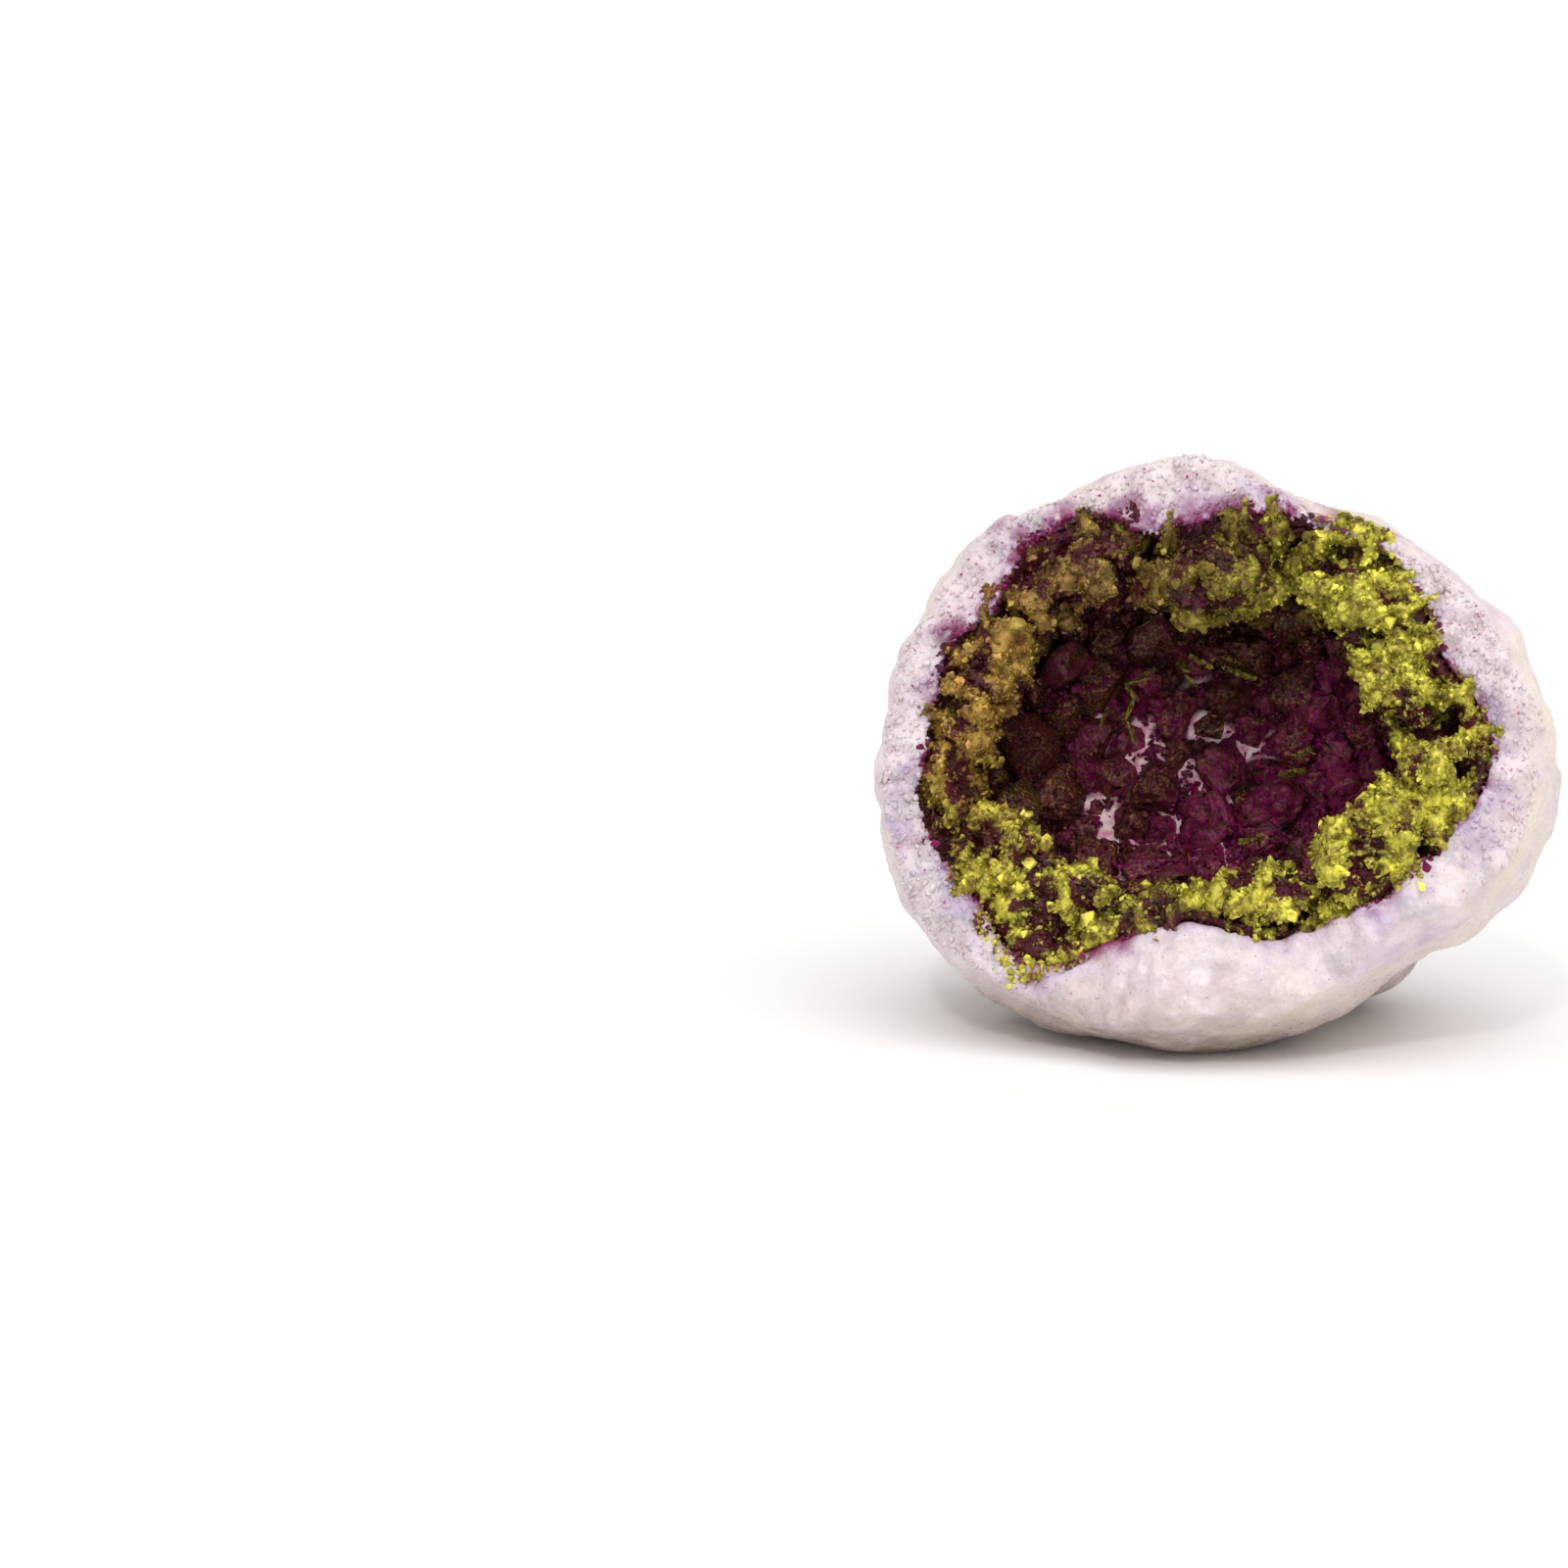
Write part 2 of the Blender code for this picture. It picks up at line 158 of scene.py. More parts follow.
# Where the pale mineral shows between the back crystals, from the hollow's middle.
PALE_MIDDLE = (-2.0, -5.0)
PALE_REACH = (13.0, 12.0)
PALE_UNEVEN = 0.9  # how uneven the edge of that area is
PALE_CUT = (-0.15, -0.03)  # heights of a wave between which its patches begin
PALE_RISE = 1.0
PALE_WHITE, PALE_PINK, PALE_SPOT = (0.98, 0.75, 0.75), (0.75, 0.24, 0.40), (0.25, 0.02, 0.10)

# The crystal materials: where the film begins and how softly, the least roughness, how metallic
# the film is, and its flecks per millimetre.
FILMED = {"cover": 0.50, "blend": 0.20, "roughness": 0.26, "metal": 0.40, "speckle": 1.8}
LINING = {"cover": 0.50, "blend": 0.20, "roughness": 0.30, "metal": 0.40, "speckle": 1.8}
DYED = {"cover": 0.51, "blend": 0.10, "roughness": 0.28, "metal": 0.50, "speckle": 3.0}
BLADE = {"cover": 0.50, "blend": 0.12, "roughness": 0.30, "metal": 0.30, "speckle": 2.6}

# Where the lining is granular and not made of large crystals: rings further out than this.
GRANULAR_RING = 52.0
GRANULAR_ROOF = 23.0  # how much further back it reaches at the roof
GRANULAR_RIGHT = 10.0  # and how much less far at the right

# The masses of small crystals.
LINING_VOXEL, CLUSTER_VOXEL = 0.45, 0.40
MASS_SMOOTHING = 3
MASS_SWELL = 0.45
FOLD_SIZES = (5.2, 2.4)  # width of the large and the small folds
MASS_FOLDS = (2.6, 1.3)  # and their height
FOLD_SHARES = (0.6, 0.4)  # and how much each counts towards a crest
NEAR_ROCK, SWELL_NEAR_ROCK = 1.3, 0.35  # this near the rock a mass swells at least this much
GRAIN_SIZES = ((0.48, (0.45, 0.90)), (1.45, (0.9, 1.7)))  # distance apart, least and most width
LARGE_GRAIN = 1.0  # grains whose greatest width is more than this are the large ones
LARGE_FILM, LARGE_PAINTED_GLINT = 0.16, 0.30  # how much more film they have, and how much brighter that film is painted, as painted glints

# The large crystals on the back wall. A half is half the width of a crystal's footprint.
SINGLE_HALVES, SMALL_SINGLE_HALVES = (2.3, 3.1), (1.4, 2.0)
FILLER_HALVES = ((1.8, 2.6), (1.3, 1.9), (0.9, 1.4), (0.65, 0.9))  # packed in this order
FILLER_TRIES = 9000  # places tried for each of those sizes
SMALLEST_ON_PALE = 0.8  # fillers with a smaller half keep off the pale mineral
BACK_OVERLAP = 8.0  # how many degrees they reach in under the granular lining
CRYSTAL_WIDER = (1.35, 1.62)  # width over footprint, so that neighbours grow together
CRYSTAL_TALL, CRYSTAL_HEIGHTS = (0.45, 0.75), (1.2, 5.0)  # height over width, and its limits
CRYSTAL_LEAN = 0.18  # how unevenly they lean off the wall's own direction
CRYSTAL_LIFT = 0.22  # how far their middles stand off the wall, as a share of their height
SINGLE_FINISH, FILLER_FINISH = (0.34, 3, 0.62), (0.16, 1, 0.42)  # bevel, divisions, unevenness
FACE_WAVES = ((0.45, 2.0, 1.0), (1.3, 5.0, 0.5), (2.8, 6.0, 0.3))  # as for FILM_PATCHES
BACK_FILM = 0.14  # the film on the large crystals is thin but nowhere quite gone
BACK_GRAINS, BACK_GRAIN_SIZES = 3600, (0.35, 1.0)  # grains on the back wall's crystals

# The thin green blades.
BLADES_EACH = 3  # at each CAD blade
BLADE_WIDTHS, BLADE_LENGTHS = (0.7, 1.1), (1.8, 3.4)
BLADE_LIFT, BLADE_SCATTER = 1.4, 0.9
BLADE_FILM, BLADE_GREEN = 0.24, (0.42, 0.42, 0.05)

# Floor and light.
FLOOR_HALF_METRES = 40.0
FLOOR_WHITE = (0.88, 0.87, 0.865)
SKY_FADE = (0.08, 0.22)  # how high the bright horizon reaches
SKY_HORIZON, SKY_DOME = 1.15, 0.62
SUNS = (  # name, direction, strength, and how many degrees wide
    ("key", (-0.15, 0.40, -1.0), 1.7, 70.0),
    ("glint", (0.25, 0.8, -0.8), 0.5, 6.0),
)

CLUSTERS = [name for name in sorted(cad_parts) if name.endswith("_cluster")]
BLADES = [name for name in sorted(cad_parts) if name.startswith("blade_crystal")]
SINGLES = [
    name
    for name in sorted(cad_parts)
    if name.startswith(("back_crystal", "inner_crystal", "outer_crystal", "wall_crystal"))
]


# ---- reading and writing meshes -------------------------------------------------------


def read(mesh):
    """A mesh's points in millimetres and its normals."""
    points, normals = np.zeros((2, len(mesh.vertices) * 3))
    mesh.vertices.foreach_get("co", points)
    mesh.vertices.foreach_get("normal", normals)
    return points.reshape(-1, 3) / MM, normals.reshape(-1, 3)


def write(mesh, points):
    mesh.vertices.foreach_set("co", (points * MM).ravel())
    mesh.update()


def add_traits(mesh, traits):
    """Stores one number or one colour per vertex under each name."""
    for name, values in traits.items():
        values = np.asarray(values, np.float32)
        if values.ndim == 1:
            mesh.attributes.new(name, "FLOAT", "POINT").data.foreach_set("value", values)
        else:
            colours = np.column_stack([values, np.ones(len(values))]).astype(np.float32)
            layer = mesh.attributes.new(name, "FLOAT_COLOR", "POINT")
            layer.data.foreach_set("color", colours.ravel())


def new_object(name, mesh):
    made = bpy.data.objects.new(name, mesh)
    bpy.context.scene.collection.objects.link(made)
    return made


def finish_piece(piece, material, replaced=None):
    piece.data.materials.clear()
    piece.data.materials.append(material)
    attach(piece, "root")
    if replaced:
        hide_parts(replaced)


def apply_modifiers(piece):
    depsgraph = bpy.context.evaluated_depsgraph_get()
    mesh = bpy.data.meshes.new_from_object(piece.evaluated_get(depsgraph))
    piece.modifiers.clear()
    piece.data = mesh


def fine_copy(name, node, voxel, smoothing):
    """A new object with a node's shape as a fine even mesh."""
    made = new_object(name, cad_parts[node].data.copy())
    remesh = made.modifiers.new("Remesh", "REMESH")
    remesh.mode = "VOXEL"
    remesh.voxel_size = voxel * MM
    smooth = made.modifiers.new("Smooth", "SMOOTH")
    smooth.iterations = smoothing
    apply_modifiers(made)
    return made


def node_tree(node):
    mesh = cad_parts[node].data
    points = read(mesh)[0]
    return BVHTree.FromPolygons(
        [Vector(point) for point in points], [tuple(face.vertices) for face in mesh.polygons]
    )


def node_middle(node):
    low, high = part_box(node)
    return (np.array(low) + np.array(high)) / (2 * MM)


def distances(tree, points):
    return np.array([tree.find_nearest(Vector(point))[3] for point in points])


# ---- places in the stone --------------------------------------------------------------

crust_tree = node_tree("druse_crust")
rock_tree = node_tree("rock_shell")
HOLLOW = node_middle("druse_crust") - BACK * HOLLOW_FORWARD


def in_stone(points):
    """Places seen from the hollow's middle: right, back and up."""
    return (np.asarray(points) - HOLLOW) @ STANCE


def ring_and_angle(points):
    local = in_stone(points)
    ring = np.degrees(np.arctan2(np.hypot(local[:, 0], local[:, 2]), local[:, 1]))
    return ring, np.degrees(np.arctan2(local[:, 2], local[:, 0]))


def near(angle, centre, spread):
    """1 at an angle, falling to 0 on both sides of it."""
    away = (angle - centre + 180.0) % 360.0 - 180.0
    return np.exp(-((away / spread) ** 2))


def ramp(values, low, high):
    return np.clip((values - low) / (high - low), 0.0, 1.0)


def wave(points, rate, offset):
    """Smooth noise at each point, so many waves per millimetre. An offset picks another noise."""
    shift = Vector((offset, offset, offset))
    return np.array([noise.noise(Vector(point) * rate + shift) for point in points])


def waves(points, parts):
    """Several noises added up, each with its own height."""
    return sum(wave(points, rate, offset) * height for rate, offset, height in parts)


def lumps(points, size, offset):
    """Round lumps of a size: 1 on top of each one and 0 in the creases."""
    shift = Vector((offset, offset, offset))
    nearest = [noise.voronoi(Vector(point) / size + shift)[0][0] for point in points]
    return 1.0 - np.clip(np.array(nearest) / 0.75, 0.0, 1.0)


def folds(points, size, offset):
    """Winding ridges: 1 on the crests and 0 in the creases between them."""
    return 1.0 - np.clip(np.abs(wave(points, 1.0 / size, offset)) * 2.6, 0.0, 1.0)


def pale_share(points):
    """1 where the pale mineral shows on the back wall and 0 elsewhere."""
    local = in_stone(points)
    across = (local[:, 0] - PALE_MIDDLE[0]) / PALE_REACH[0]
    up = (local[:, 2] - PALE_MIDDLE[1]) / PALE_REACH[1]
    uneven = wave(points, 0.13, 4.0) * PALE_UNEVEN
    inside = ramp(1.0 - np.hypot(across, up) + uneven, 0.0, 0.15)
    return inside * ramp(wave(points, 0.24, 15.0), *PALE_CUT) * (local[:, 1] > 0)


def crystal_traits(points, raised, rng):
    """Film and body colour of each crystal. raised is 1 on a crest and 0 in a crease; crests get more
    bright film and creases show the dark body, partly as painted shade.
    """
    count = len(points)
    ring, angle = ring_and_angle(points)
    roof = near(angle, ROOF, 48.0)
    left = near(angle, LEFT, 34.0)
    edge = FILM_EDGE - FILM_EDGE_ROOF * roof - FILM_EDGE_LEFT * left
    outer = ramp(ring, edge - 8.0, edge + 10.0)
    rim = FILM_RIM * ramp(ring, 72.0, 92.0) * (1.0 - near(angle, 130.0, 50.0))
    # More film on crests and less in creases: partly painted shade in the creases.
    film = FILM_BASE + FILM_OUTER * outer + rim + CREST_FILM_AND_SHADE * (raised - 0.5)
    film += waves(points, FILM_PATCHES)
    local = in_stone(points)
    from_middle = np.hypot(local[:, 0], local[:, 2])
    film -= FILM_DEPTH_LOSS * ramp(local[:, 1], -1.0, 7.0) * (1.0 - roof)
    film -= FILM_RIGHT_LOSS * ramp(from_middle, 21.0, 16.0) * near(angle, RIGHT, 35.0)
    for place, spread, less in BARE_PLACES:
        film -= near(angle, place, spread) * less
    film += rng.normal(0, 0.06, count)
    weights = np.array([near(angle, place, spread) for _, place, spread in FILM_PLACES]).T + 0.02
    weights *= np.exp(rng.normal(0, 1.0, weights.shape))
    weights /= weights.sum(1, keepdims=True)
    colour = weights @ np.array([tint for tint, _, _ in FILM_PLACES])
    inner = ramp(ring, 62.0, 42.0)[:, None]
    colour = colour * (1 - inner) + np.array(GOLD) * inner * BACK_GOLD
    # Painted shade: the film is darkened deep in the hollow, and each crystal then gets its own random
    # tone.
    painted_shade_and_tone = FILM_PAINTED_DEEP_SHADE + (1.0 - FILM_PAINTED_DEEP_SHADE) * ramp(ring, 45.0, 85.0)
    painted_shade_and_tone = painted_shade_and_tone * rng.uniform(*FILM_SHADES, count)
    dyed = DYE_BASE + wave(points, 0.20, 11.0) * DYE_UNEVEN
    dyed += rng.normal(0, 0.08, count) - DYE_OUTER_LOSS * outer
    for place, reach, spread in DYE_PLACES:
        away = ring - reach
        dyed += DYE_MORE * near(angle, place, spread * 1.4) * np.exp(-((away / spread) ** 2))
    brown = ramp(wave(points, 0.33, 17.0) + 0.3 * roof + 0.2 * outer, 0.05, 0.5)
    return {
        "film": np.clip(film, 0, 1),
        "film_colour": colour * painted_shade_and_tone[:, None],
        "dyed": np.clip(dyed, 0, 1),
        "brown": brown,
    }


# ---- crystals -------------------------------------------------------------------------


def hull_form(rng, corners):
    """A closed rough crystal about one across, as points and faces."""
    work = bmesh.new()
    for _ in range(corners):
        work.verts.new(Vector(rng.normal(0, 1, 3)).normalized() * rng.uniform(0.42, 0.54))
    hull = bmesh.ops.convex_hull(work, input=work.verts)
    left_over = {
        part
        for part in hull["geom_interior"] + hull["geom_unused"]
        if isinstance(part, bmesh.types.BMVert)
    }
    bmesh.ops.delete(work, geom=list(left_over), context="VERTS")
    work.verts.index_update()
    points = np.array([corner.co[:] for corner in work.verts])
    faces = [tuple(corner.index for corner in face.verts) for face in work.faces]
    work.free()
    return points, faces


def prism_form(sides, point):
    """A closed prism one across and one tall with a pointed end."""
    turn = np.arange(sides) * (2 * math.pi / sides)
    ring = np.stack([np.cos(turn), np.sin(turn)], 1) * 0.5
    base = np.column_stack([ring * 0.85, np.zeros(sides)])
    shoulder = np.column_stack([ring, np.full(sides, 1.0 - point)])
    points = np.vstack([base, shoulder, [[0.1, 0.05, 1.0]]])
    faces = [tuple(range(sides - 1, -1, -1))]
    for i in range(sides):
        j = (i + 1) % sides
        faces += [(i, j, sides + j, sides + i), (sides + i, sides + j, 2 * sides)]
    return points, faces


def turns_along(normals, twist):
    """One rotation matrix per normal, whose third column is the normal."""
    normals = normals / np.linalg.norm(normals, axis=1, keepdims=True)
    helper = np.where(np.abs(normals[:, 2:3]) < 0.9, [[0.0, 0.0, 1.0]], [[1.0, 0.0, 0.0]])
    first = np.cross(helper, normals)
    first /= np.linalg.norm(first, axis=1, keepdims=True)
    second = np.cross(normals, first)
    c, s = np.cos(twist)[:, None], np.sin(twist)[:, None]
    return np.stack([first * c + second * s, second * c - first * s, normals], 2)


def place_forms(forms, kind, places, turns, sizes):
    """Many crystals as points, faces, and the number of the crystal that each point is on."""
    points, faces, owners, start = [], [], [], 0
    for index, (corners, sides) in enumerate(forms):
        chosen = np.flatnonzero(kind == index)
        scaled = corners[None] * sizes[chosen][:, None]
        moved = np.einsum("nij,nkj->nki", turns[chosen], scaled) + places[chosen][:, None]
        points.append(moved.reshape(-1, 3))
        owners.append(np.repeat(chosen, len(corners)))
        for first in range(start, start + len(chosen) * len(corners), len(corners)):
            faces.extend(tuple(first + corner for corner in side) for side in sides)
        start += len(chosen) * len(corners)
    return np.vstack(points), faces, np.concatenate(owners)


def grown_object(name, points, faces, traits, smooth=False):
    """A new object. smooth is one answer for all its faces or one for each."""
    mesh = bpy.data.meshes.new(name)
    mesh.from_pydata((points * MM).tolist(), [], faces)
    add_traits(mesh, traits)
    mesh.polygons.foreach_set("use_smooth", np.broadcast_to(smooth, len(faces)).copy())
    mesh.update()
    return new_object(name, mesh)


def spaced(points, step, rng):
    """The numbers of points at least a step apart, taken in random order."""
    cells, kept = {}, []
    for index in rng.permutation(len(points)):
        spot = points[index]
        x, y, z = (int(value) for value in np.floor(spot / step))
        around = [
            other
            for dx in (-1, 0, 1)
            for dy in (-1, 0, 1)
            for dz in (-1, 0, 1)
            for other in cells.get((x + dx, y + dy, z + dz), ())
        ]
        if not around or ((points[around] - spot) ** 2).sum(1).min() > step * step:
            cells.setdefault((x, y, z), []).append(index)
            kept.append(index)
    return np.array(kept, int)


def grains(points, normals, low, high, rng, flat_share, sink):
    """Small rough crystals standing on points: their points, faces and owners.

    low and high are the least and most width, for all of them or for each.
    """
    count = len(points)
    flat = rng.random(count) < flat_share
    width = rng.uniform(low, high, count) * np.where(flat, 1.35, 1.0)
    tall = width * np.where(flat, rng.uniform(0.30, 0.50, count), rng.uniform(0.7, 1.25, count))
    sizes = np.column_stack([width, width * rng.uniform(0.6, 1.0, count), tall])
    lean = rng.normal(0, 0.5, (count, 3))
    turns = turns_along(normals + lean, rng.uniform(0, 2 * math.pi, count))
    kind = rng.integers(0, len(GRAIN_FORMS), count)
    places = points + normals * (width * (0.5 - sink) * 0.6)[:, None]
    return place_forms(GRAIN_FORMS, kind, places, turns, sizes)


form_rng = np.random.default_rng(SEED + 1)
GRAIN_FORMS = [hull_form(form_rng, corners) for corners in (8, 9, 9, 10, 10, 11, 12, 13)]


# ---- materials ------------------------------------------------------------------------


class Nodes:
    """A short way to write a material's node tree."""

    def __init__(self, name):
        self.material = bpy.data.materials.new(name)
        self.material.use_nodes = True
        self.tree = self.material.node_tree
        self.shader = self.tree.nodes["Principled BSDF"]

    def fill(self, socket, value):
        if isinstance(value, bpy.types.NodeSocket):
            self.tree.links.new(value, socket)
        elif isinstance(value, tuple) and socket.type == "RGBA":
            socket.default_value = (*value, 1.0)
        else:
            socket.default_value = value

    def texture(self, kind, scale, **values):
        node = self.tree.nodes.new(kind)
        self.fill(node.inputs["Vector"], self.tree.nodes.new("ShaderNodeTexCoord").outputs["Object"])
        node.inputs["Scale"].default_value = scale / MM
        for name, value in values.items():
            node.inputs[name].default_value = value
        return node

    def noise(self, scale, detail=3.0):
        node = self.texture("ShaderNodeTexNoise", scale, Detail=detail, Roughness=0.6)
        return node.outputs["Fac"]

    def cells(self, scale):
        return self.texture("ShaderNodeTexVoronoi", scale).outputs["Distance"]

    def trait(self, name, output="Fac"):
        node = self.tree.nodes.new("ShaderNodeAttribute")
        node.attribute_name = name
        return node.outputs[output]

    def ramp(self, source, low, high, start=0.0, end=1.0):
        node = self.tree.nodes.new("ShaderNodeMapRange")
        self.fill(node.inputs["Value"], source)
        self.fill(node.inputs["From Min"], low)
        self.fill(node.inputs["From Max"], high)
        self.fill(node.inputs["To Min"], start)
        self.fill(node.inputs["To Max"], end)
        return node.outputs["Result"]

    def math(self, operation, first, second):
        node = self.tree.nodes.new("ShaderNodeMath")
        node.operation = operation
        self.fill(node.inputs[0], first)
        self.fill(node.inputs[1], second)
        return node.outputs["Value"]

    def times(self, first, second):
        return self.math("MULTIPLY", first, second)

    def mix(self, factor, first, second):
        node = self.tree.nodes.new("ShaderNodeMix")
        node.data_type = "RGBA"
        self.fill(node.inputs[0], factor)
        self.fill(node.inputs[6], first)
        self.fill(node.inputs[7], second)
        return node.outputs[2]

    def bump(self, height, strength, distance):
        node = self.tree.nodes.new("ShaderNodeBump")
        node.inputs["Strength"].default_value = strength
        node.inputs["Distance"].default_value = distance * MM
        self.fill(node.inputs["Height"], height)
        self.fill(self.shader.inputs["Normal"], node.outputs["Normal"])

    def set(self, **values):
        for name, value in values.items():
            self.fill(self.shader.inputs[name.replace("_", " ")], value)


def rock_material():
    """Pale sugary rock: lilac on the break, cream outside, dye creeping in from the crystals, and
    painted shade near the ground.
    """
    n = Nodes("rock_surface")
    base = n.mix(n.ramp(n.noise(0.30), 0.35, 0.65), ROSE, BLUSH)
    clear = n.times(n.ramp(n.noise(0.16, 4.0), 0.50, 0.62), n.trait("broken"))
    base = n.mix(n.times(clear, 0.8), base, CLEAR)
    cream = n.times(n.ramp(n.noise(0.11, 4.0), 0.44, 0.60), n.trait("outside"))
    base = n.mix(cream, base, CREAM)
    # Mottling of the weathered outside, and painted shade near the ground.
    mottle_and_shade = n.times(n.ramp(n.noise(0.28, 5.0), 0.42, 0.62), n.trait("weathered_and_shade"))
    base = n.mix(mottle_and_shade, base, MOTTLE_AND_SHADE)
    tint = n.times(n.trait("tint"), n.ramp(n.noise(0.32, 4.0), 0.36, 0.60))
    base = n.mix(tint, base, LILAC)
    bleed = n.times(n.trait("bleed"), n.ramp(n.noise(0.55, 4.0), 0.34, 0.52))
    base = n.mix(bleed, base, WINE)
    speck = n.ramp(n.math("ADD", n.cells(1.15), n.times(n.noise(2.3), 0.5)), 0.46, 0.35)
    sparse = n.ramp(n.noise(0.24, 1.0), 0.47, 0.52)
    base = n.mix(n.times(n.times(speck, sparse), n.trait("specks")), base, SPECK)
    dust = n.times(n.ramp(n.noise(2.9, 1.0), 0.68, 0.76), n.trait("broken"))
    base = n.mix(n.times(dust, 0.65), base, DUST)
    # Painted shade: the rock is browned and darkened towards the ground.
    bottom_shade = n.times(n.trait("ground_shade"), n.ramp(n.noise(0.5, 4.0), 0.25, 0.60, 0.35, 1.0))
    base = n.mix(bottom_shade, base, UNDERSIDE_SHADE)
    n.set(
        Base_Color=base,
        Roughness=n.ramp(n.noise(1.7, 2.0), 0.35, 0.65, 0.22, 0.70),
        Subsurface_Weight=0.20,
        Subsurface_Radius=(1.0, 0.75, 0.85),
        Subsurface_Scale=0.8 * MM,
    )
    grain = n.math("ADD", n.noise(1.9, 3.0), n.times(n.cells(1.5), 0.9))
    n.bump(grain, 0.55, 0.22)
    return n.material


def dyed_body(n):
    """The colour under the film: maroon, going brown or magenta in blotches, with dark veins."""
    brown = n.times(n.trait("brown"), n.ramp(n.noise(0.45, 3.0), 0.35, 0.65))
    body = n.mix(brown, MAROON, UMBER)
    blotches = n.math("ADD", n.trait("dyed"), n.noise(0.38, 4.0))
    body = n.mix(n.ramp(blotches, 0.72, 1.08), body, MAGENTA)
    vein = n.ramp(n.noise(0.9), 0.42, 0.66, 0.0, 0.75)
    body = n.mix(vein, body, VEIN)
    grit = n.ramp(n.noise(2.6, 2.0), 0.38, 0.62, 0.0, 0.45)
    return n.mix(grit, body, GRIT)


def crystal_material(name, cover, blend, roughness, metal, speckle, pale=False):
    """Dark dyed crystal under a thin metallic film that is broken into flecks."""
    n = Nodes(name)
    flecks = n.math("ADD", n.trait("film"), n.ramp(n.noise(speckle, 4.0), 0.25, 0.75, 0.0, 0.7))
    filmed = n.ramp(flecks, cover, cover + blend)
    dulled = n.ramp(n.noise(0.8, 4.0), 0.42, 0.62, 0.0, 0.85)
    film = n.mix(dulled, n.trait("film_colour", "Color"), TARNISH)
    colour = n.mix(filmed, dyed_body(n), film)
    if pale:
        white = n.mix(n.ramp(n.noise(0.8, 4.0), 0.40, 0.62), PALE_WHITE, PALE_PINK)
        white = n.mix(n.ramp(n.cells(1.9), 0.22, 0.12), white, PALE_SPOT)
        colour = n.mix(n.trait("pale"), colour, white)
    n.set(
        Base_Color=colour,
        Metallic=n.times(filmed, metal),
        Roughness=n.ramp(n.noise(1.3, 2.0), 0.3, 0.7, roughness, roughness + 0.30),
        Specular_IOR_Level=0.25,
    )
    n.bump(n.noise(2.2, 3.0), 0.70, 0.22)
    return n.material


# ---- the rock -------------------------------------------------------------------------


def crystal_creep(points):
    """How far out over the broken face the small crystals grow."""
    angle = ring_and_angle(points)[1]
    reach = CREEP_REACH + wave(points, 0.30, 31.0) * CREEP_UNEVEN
    reach += CREEP_LOWER_LEFT * near(angle, LOWER_LEFT, 12.0)
    return reach * (1.0 - CREEP_LIP_LOSS * near(angle, LIP, 28.0))


def build_rock(rng):
    """The rock as a fine mesh with real swells, lumps and crumbs. Returns what the rim needs."""
    rock = fine_copy("rock_surface", "rock_shell", ROCK_VOXEL, ROCK_SMOOTHING)
    points, normals = read(rock.data)
    broken = ramp(normals @ -BACK, 0.25, 0.75)
    to_crystal = distances(crust_tree, points)
    under_lining = (to_crystal < WALL_DISTANCE) & (broken < 0.3)
    local = in_stone(points)
    angle = ring_and_angle(points)[1]
    worn = near(angle, WORN_ANGLE, WORN_SPREAD)
    lift = np.zeros(len(points))
    for index, (rate, outside, on_break) in enumerate(ROCK_WAVES):
        height = outside * (1 - broken) + on_break * broken
        lift += wave(points, rate, index * 7.0) * height * (1.0 - WORN_LOSS * worn)
    lift += (lumps(points, LUMP_SIZE, 8.0) - 0.5) * LUMP_HEIGHT * broken
    lift[under_lining] *= WALL_LIFT
    lift *= ramp(points[:, 2], *GROUND_FADE)
    outward = local * (1.0, 0.0, 1.0)
    outward = outward / np.linalg.norm(outward, axis=1, keepdims=True) @ STANCE.T
    at_edge = ramp(to_crystal, *OVERHANG_REACH) * ramp(broken, 0.05, 0.4)
    for place, spread, width in ROCK_OVERHANGS:
        share = (near(angle, place, spread) * at_edge)[:, None]
        points = points - outward * share * width - BACK * share * OVERHANG_FORWARD
    points += normals * lift[:, None]
    points[:, 2] = np.maximum(points[:, 2], 0.0)
    write(rock.data, points)
    reach = 1.0 + wave(points, 0.25, 21.0) * 1.2
    # low_down is where painted shade darkens the rock towards the ground.
    low_down = ramp(points[:, 2], UNDERSIDE_SHADE_HEIGHT, 1.0)
    stained = reach * (1.0 + BLEED_MORE * near(angle, BLEED_ANGLE, BLEED_SPREAD))
    at_front = ramp(local[:, 1], *FRONT_FADE)
    traits = {
        "broken": broken,
        "outside": 1 - broken * 0.75,
        "bleed": ramp(to_crystal, BLEED_REACH[0] * stained, BLEED_REACH[1] * stained) * at_front,
        "tint": ramp(to_crystal, TINT_REACH * reach, 0.6) * 0.9 * at_front,
        "specks": broken * (1.0 - 0.85 * worn),
        # Real mottling towards the back of the stone; the low_down part is painted shade near the
        # ground.
        "weathered_and_shade": 0.12 + 0.75 * ramp(local[:, 1], *WEATHERED_DEPTHS) + 0.35 * low_down,
        "ground_shade": ramp(points[:, 2], UNDERSIDE_SHADE_HEIGHT, 0.5),
    }
    add_traits(rock.data, traits)
    rock.data.shade_smooth()
    material = rock_material()
    finish_piece(rock, material, "rock_shell")
    rough = (worn < rng.uniform(0.15, 0.6, len(points))) & (to_crystal > crystal_creep(points))
    sugar = np.flatnonzero((broken > 0.30) & rough)
    sugar = sugar[spaced(points[sugar], SUGAR_STEP, rng)]
    corners, faces, owners = grains(
        points[sugar], normals[sugar], *SUGAR_SIZES, rng, flat_share=0.2, sink=0.6
    )
    mine = {name: values[sugar][owners] for name, values in traits.items()}
    finish_piece(grown_object("rock_sugar", corners, faces, mine, True), material)
    return points, normals, to_crystal, broken


